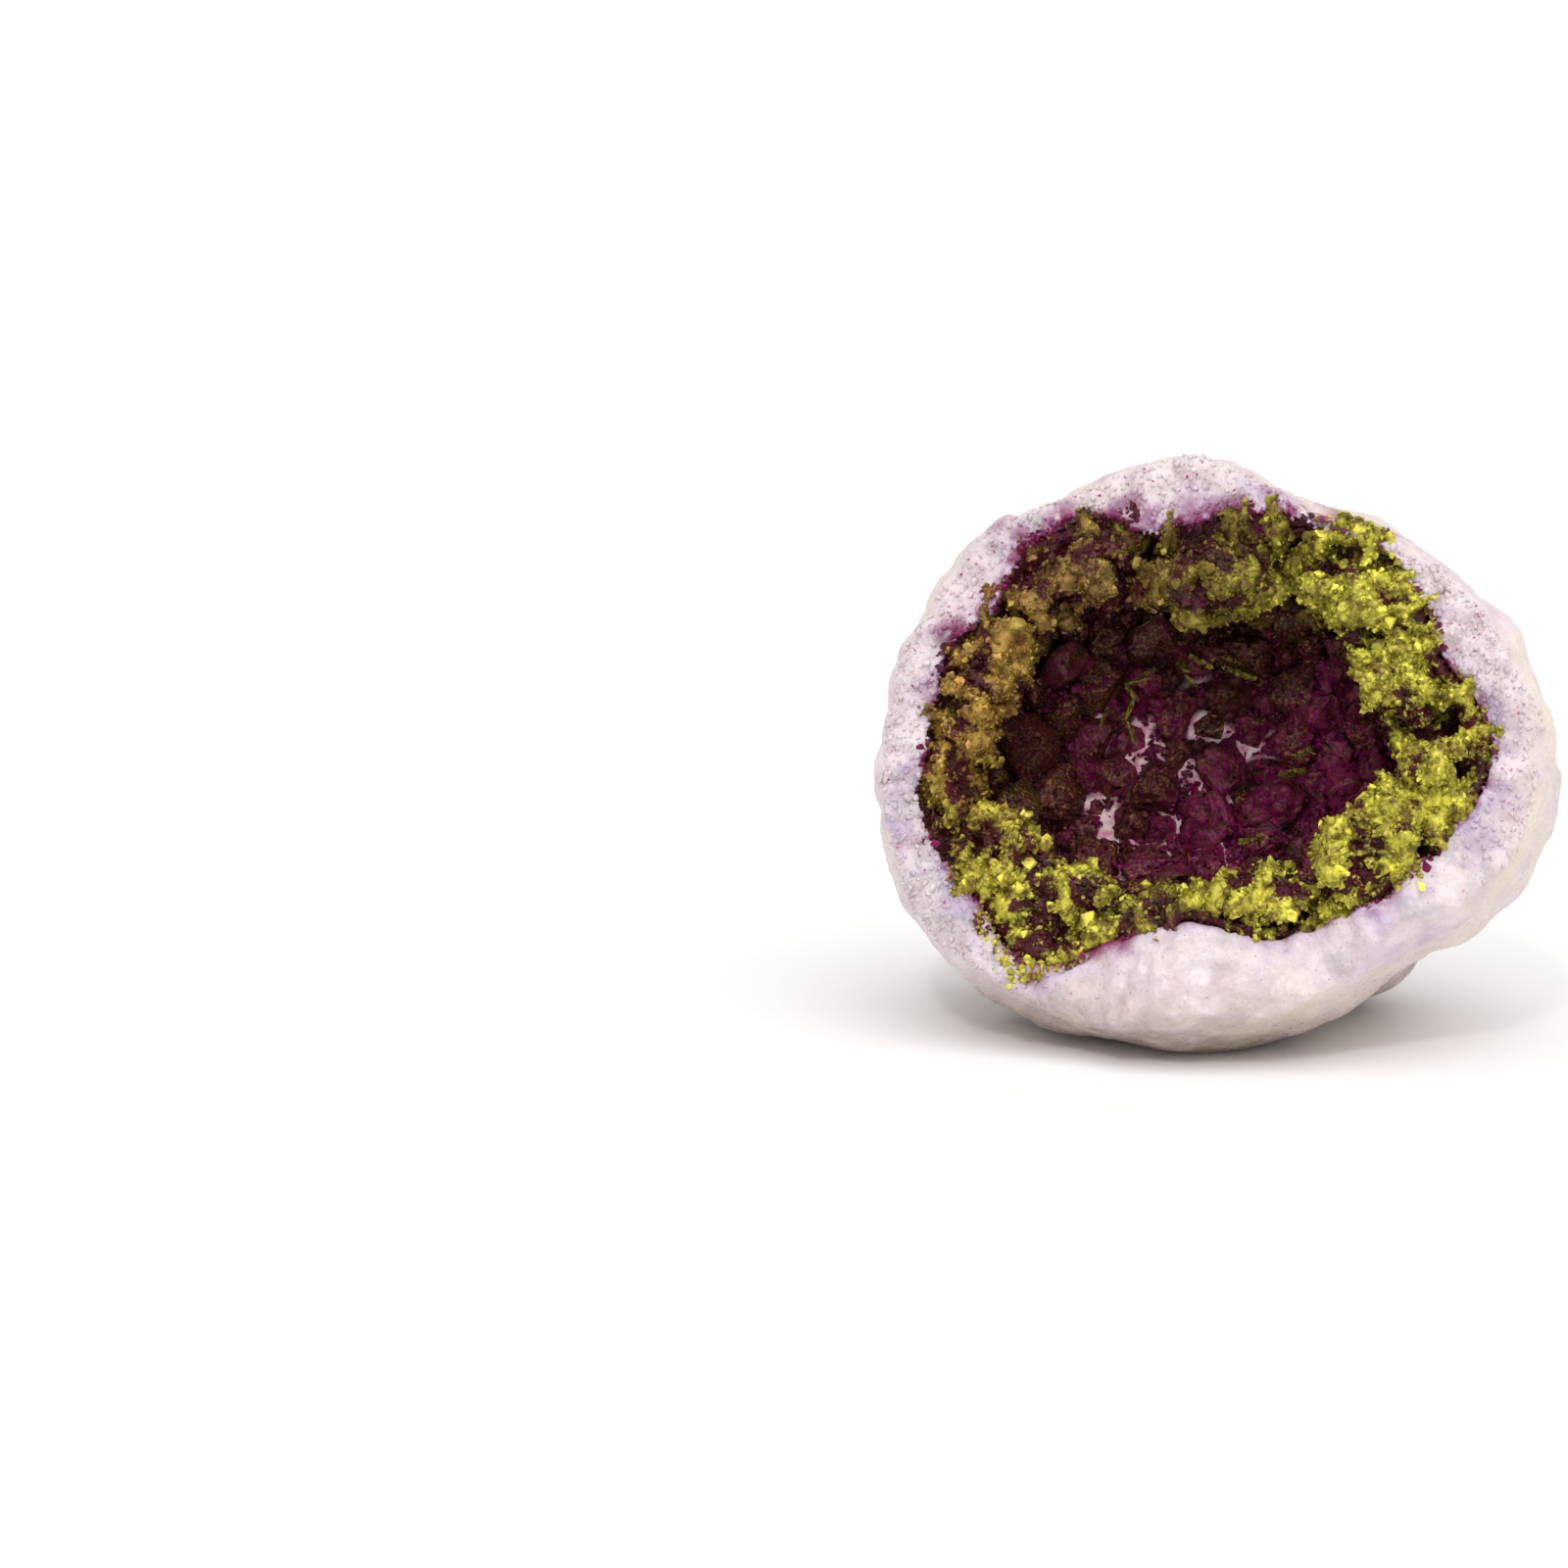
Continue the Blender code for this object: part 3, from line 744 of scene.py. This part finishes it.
def build_rim(rock, material, rng):
    """Crystals that creep out over the broken face, further in some places than others."""
    points, normals, to_crystal, broken = rock
    angle = ring_and_angle(points)[1]
    chosen = np.flatnonzero((broken > 0.15) & (to_crystal < crystal_creep(points)))
    chosen = chosen[spaced(points[chosen], RIM_STEP, rng)]
    spots = points[chosen]
    corners, faces, owners = grains(
        spots, normals[chosen], *RIM_SIZES, rng, flat_share=0.2, sink=0.5
    )
    raised = 0.30 + 0.35 * near(angle[chosen], LOWER_LEFT, 16.0)
    traits = crystal_traits(spots, raised, rng)
    traits["dyed"] = traits["dyed"] + 0.35
    piece = grown_object("rim_grains", corners, faces, {k: v[owners] for k, v in traits.items()})
    finish_piece(piece, material)


# ---- the lining and the clusters ------------------------------------------------------


def build_mass(name, node, voxel, material, rng, keep=None):
    """A node as a folded core with small crystals all over it, or only where keep says so.

    Returns the core, its points and normals, and where the pale mineral shows on it.
    """
    base = fine_copy(name + "_core", node, voxel, MASS_SMOOTHING)
    points, normals = read(base.data)
    granular = keep(points, normals) if keep else np.ones(len(points), bool)
    pale = pale_share(points) * ~granular
    big, small = folds(points, FOLD_SIZES[0], 1.0), folds(points, FOLD_SIZES[1], 2.0)
    lift = MASS_SWELL + MASS_FOLDS[0] * (big - 0.5) + MASS_FOLDS[1] * (small - 0.5)
    near_rock = distances(rock_tree, points) < NEAR_ROCK
    lift = np.where(near_rock, np.maximum(lift, SWELL_NEAR_ROCK), lift)
    points = points + normals * np.where(granular, lift, pale * PALE_RISE)[:, None]
    write(base.data, points)
    raised = FOLD_SHARES[0] * big + FOLD_SHARES[1] * small
    wanted = np.flatnonzero(granular)
    all_spots, all_normals, all_raised, all_sizes = [], [], [], []
    for step, sizes in GRAIN_SIZES:
        chosen = wanted[spaced(points[wanted], step, rng)]
        all_spots.append(points[chosen])
        all_normals.append(normals[chosen])
        all_raised.append(raised[chosen])
        all_sizes.append(np.full((len(chosen), 2), sizes))
    spots, (least, most) = np.vstack(all_spots), np.vstack(all_sizes).T
    corners, faces, owners = grains(
        spots, np.vstack(all_normals), least, most, rng, flat_share=0.2, sink=0.5
    )
    grain_traits = crystal_traits(spots, np.concatenate(all_raised), rng)
    large = most > LARGE_GRAIN
    grain_traits["film"] = grain_traits["film"] + LARGE_FILM * large
    # Painted glints: the film of the large grains is made brighter.
    grain_traits["film_colour"] = grain_traits["film_colour"] * (1.0 + LARGE_PAINTED_GLINT * large[:, None])
    mine = {trait: values[owners] for trait, values in grain_traits.items()}
    smooth = ~large[owners[[side[0] for side in faces]]]
    piece = grown_object(name, corners, faces, mine, smooth)
    finish_piece(piece, material, node)
    base_traits = crystal_traits(points, raised, rng)
    base_traits["pale"] = pale
    add_traits(base.data, base_traits)
    base.data.shade_smooth()
    return base, points, normals, pale


def granular_limit(angle):
    """The ring where large crystals give way to granular lining."""
    inward = GRANULAR_ROOF * near(angle, ROOF, 45.0)
    return GRANULAR_RING - inward + GRANULAR_RIGHT * near(angle, 350.0, 35.0)


def lining_grain_places(points, normals):
    """The parts of the lining that face the hollow or the opening, outside the back wall."""
    inward = HOLLOW - points
    inward /= np.linalg.norm(inward, axis=1, keepdims=True)
    seen = ((normals * inward).sum(1) > 0.0) | (normals @ -BACK > 0.3)
    ring, angle = ring_and_angle(points)
    return seen & (ring > granular_limit(angle))


def back_wall(points, normals, pale, rng):
    """Packs round footprints over the back wall, the CAD crystals' own places first."""
    feet, outs, halves = [], [], []
    for node in SINGLES:
        middle = node_middle(node)
        hit = np.array(crust_tree.find_nearest(Vector(middle))[0])
        outward = (middle - hit) / np.linalg.norm(middle - hit)
        feet.append(hit)
        outs.append(outward)
        ring, angle = ring_and_angle(hit[None])
        small = ring[0] > granular_limit(angle[0])
        halves.append(rng.uniform(*(SMALL_SINGLE_HALVES if small else SINGLE_HALVES)))
    inward = HOLLOW - points
    inward /= np.linalg.norm(inward, axis=1, keepdims=True)
    ring, angle = ring_and_angle(points)
    limit = granular_limit(angle) + BACK_OVERLAP
    wanted = np.flatnonzero(((normals * inward).sum(1) > 0.3) & (ring < limit))
    for smallest, largest in FILLER_HALVES:
        for index in rng.permutation(wanted)[:FILLER_TRIES]:
            if pale[index] > 0.5 and smallest < SMALLEST_ON_PALE:
                continue
            spot = points[index] - normals[index] * pale[index] * PALE_RISE
            free = (np.linalg.norm(np.array(feet) - spot, axis=1) - np.array(halves)).min()
            if free >= smallest:
                feet.append(spot)
                outs.append(normals[index])
                halves.append(min(free, largest))
    return np.array(feet), np.array(outs), np.array(halves)


def rounded(piece, width, levels, rough):
    """Rounds a crystal's edges and gives its faces real unevenness."""
    bevel = piece.modifiers.new("Bevel", "BEVEL")
    bevel.width = width * MM
    bevel.segments = 2
    bevel.limit_method = "NONE"
    divide = piece.modifiers.new("Divide", "SUBSURF")
    divide.subdivision_type = "SIMPLE"
    divide.levels = divide.render_levels = levels
    apply_modifiers(piece)
    points, normals = read(piece.data)
    lift = waves(points, FACE_WAVES)
    write(piece.data, points + normals * lift[:, None] * rough)
    piece.data.shade_smooth()


def build_back(points, normals, pale, material, rng):
    """The large crystals on the back wall and the smaller ones between them."""
    feet, outs, halves = back_wall(points, normals, pale, rng)
    count = len(feet)
    width = halves * 2 * rng.uniform(*CRYSTAL_WIDER, count)
    tall = np.clip(width * rng.uniform(*CRYSTAL_TALL, count), *CRYSTAL_HEIGHTS)
    sizes = np.column_stack([width, width * rng.uniform(0.85, 1.05, count), tall])
    turns = turns_along(outs + rng.normal(0, CRYSTAL_LEAN, (count, 3)), rng.uniform(0, 6, count))
    places = feet + outs * (tall * CRYSTAL_LIFT)[:, None]
    traits = crystal_traits(feet, np.full(count, 0.4), rng)
    traits["film"] = traits["film"] * 0.6 + BACK_FILM
    forms = [hull_form(rng, corners) for corners in (12, 13, 14, 15, 16, 18)]
    kind = rng.integers(0, len(forms), count)

    def grow(name, chosen):
        picked = place_forms(forms, kind[chosen], places[chosen], turns[chosen], sizes[chosen])
        corners, faces, owners = picked
        mine = {trait: values[chosen][owners] for trait, values in traits.items()}
        return grown_object(name, corners, faces, mine)

    for index, node in enumerate(SINGLES):
        piece = grow(node + "_grown", slice(index, index + 1))
        rounded(piece, *SINGLE_FINISH)
        finish_piece(piece, material, node)
    piece = grow("filler_crystals", slice(len(SINGLES), count))
    rounded(piece, *FILLER_FINISH)
    finish_piece(piece, material)
    host = rng.integers(0, count, BACK_GRAINS)
    towards = rng.normal(0, 1, (BACK_GRAINS, 3)) * (0.7, 0.7, 0.5) + (0.0, 0.0, 0.8)
    towards /= np.linalg.norm(towards, axis=1, keepdims=True)
    spots = places[host] + np.einsum("nij,nj->ni", turns[host], towards * sizes[host] * 0.49)
    outward = np.einsum("nij,nj->ni", turns[host], towards)
    corners, faces, owners = grains(
        spots, outward, *BACK_GRAIN_SIZES, rng, flat_share=0.5, sink=0.4
    )
    traits = crystal_traits(spots, rng.uniform(0.2, 0.75, BACK_GRAINS), rng)
    piece = grown_object("back_grains", corners, faces, {k: v[owners] for k, v in traits.items()})
    finish_piece(piece, material)


def build_blades(material, rng):
    """Thin green crystals that lie across the dark ones, a few at each CAD blade."""
    for node in BLADES:
        middle = node_middle(node)
        hit = np.array(crust_tree.find_nearest(Vector(middle))[0])
        outward = (middle - hit) / np.linalg.norm(middle - hit)
        side = np.cross(outward, rng.normal(0, 1, 3))
        side /= np.linalg.norm(side)
        along = side + outward * 0.35 + rng.normal(0, 0.45, (BLADES_EACH, 3))
        places = middle + outward * BLADE_LIFT + rng.normal(0, BLADE_SCATTER, (BLADES_EACH, 3))
        across = rng.uniform(*BLADE_WIDTHS, BLADES_EACH)
        tall = rng.uniform(*BLADE_LENGTHS, BLADES_EACH)
        sizes = np.column_stack([across * 0.5, across, tall])
        turns = turns_along(along, rng.uniform(0, 6, BLADES_EACH))
        forms = [prism_form(6, 0.15)]
        corners, faces, _ = place_forms(forms, np.zeros(BLADES_EACH), places, turns, sizes)
        traits = {
            "film": np.full(len(corners), BLADE_FILM),
            "film_colour": np.tile(BLADE_GREEN, (len(corners), 1)),
            "dyed": np.zeros(len(corners)),
            "brown": np.ones(len(corners)),
        }
        piece = grown_object(node + "_grown", corners, faces, traits)
        finish_piece(piece, material, node)


# ---- light, floor and camera ----------------------------------------------------------


def build_stage():
    size = FLOOR_HALF_METRES
    mesh = bpy.data.meshes.new("floor")
    corners = [(-size, -size, 0), (size, -size, 0), (size, size, 0), (-size, size, 0)]
    mesh.from_pydata(corners, [], [(0, 1, 2, 3)])
    floor = new_object("floor", mesh)
    n = Nodes("floor_white")
    n.set(Base_Color=FLOOR_WHITE, Roughness=0.9)
    mesh.materials.append(n.material)


def sun(name, direction, strength, angle):
    light = bpy.data.lights.new(name, "SUN")
    light.energy = strength
    light.angle = math.radians(angle)
    made = new_object(name, light)
    made.rotation_euler = Vector(direction).to_track_quat("-Z", "Y").to_euler()


def build_lights():
    """A bright horizon all round, a softer dome above, and two suns."""
    world = bpy.data.worlds.new("studio")
    bpy.context.scene.world = world
    world.use_nodes = True
    nodes, links = world.node_tree.nodes, world.node_tree.links
    direction = nodes.new("ShaderNodeTexCoord")
    split = nodes.new("ShaderNodeSeparateXYZ")
    fade = nodes.new("ShaderNodeMapRange")
    links.new(direction.outputs["Generated"], split.inputs["Vector"])
    links.new(split.outputs["Z"], fade.inputs["Value"])
    ends = (*SKY_FADE, SKY_HORIZON, SKY_DOME)
    for name, value in zip(("From Min", "From Max", "To Min", "To Max"), ends):
        fade.inputs[name].default_value = value
    links.new(fade.outputs["Result"], nodes["Background"].inputs["Strength"])
    nodes["Background"].inputs["Color"].default_value = (1.0, 1.0, 1.0, 1.0)
    for light in SUNS:
        sun(*light)


def build_camera():
    camera = bpy.data.cameras.new("camera")
    camera.lens = LENS
    camera.sensor_width = SENSOR
    made = new_object("camera", camera)
    up = math.radians(CAMERA_ELEVATION)
    back = Vector((0.0, -math.cos(up), math.sin(up)))
    made.location = (CAMERA_TARGET + back * CAMERA_DISTANCE) * MM
    made.rotation_euler = (math.radians(90.0) - up, 0.0, 0.0)
    bpy.context.scene.camera = made


def build():
    bpy.context.scene.view_settings.view_transform = "Standard"
    rng = np.random.default_rng(SEED)
    build_camera()
    build_stage()
    build_lights()
    coated = crystal_material("filmed_crystal", **FILMED)
    lining = crystal_material("lining", **LINING, pale=True)
    deep = crystal_material("dyed_crystal", **DYED)
    blade = crystal_material("green_crystal", **BLADE)
    rock = build_rock(rng)
    build_rim(rock, coated, rng)
    core, points, normals, pale = build_mass(
        "lining_grains", "druse_crust", LINING_VOXEL, coated, rng, lining_grain_places
    )
    finish_piece(core, lining)
    build_back(points, normals, pale, deep, rng)
    for node in CLUSTERS:
        core = build_mass(node + "_grains", node, CLUSTER_VOXEL, coated, rng)[0]
        finish_piece(core, coated)
    build_blades(blade, rng)


build()
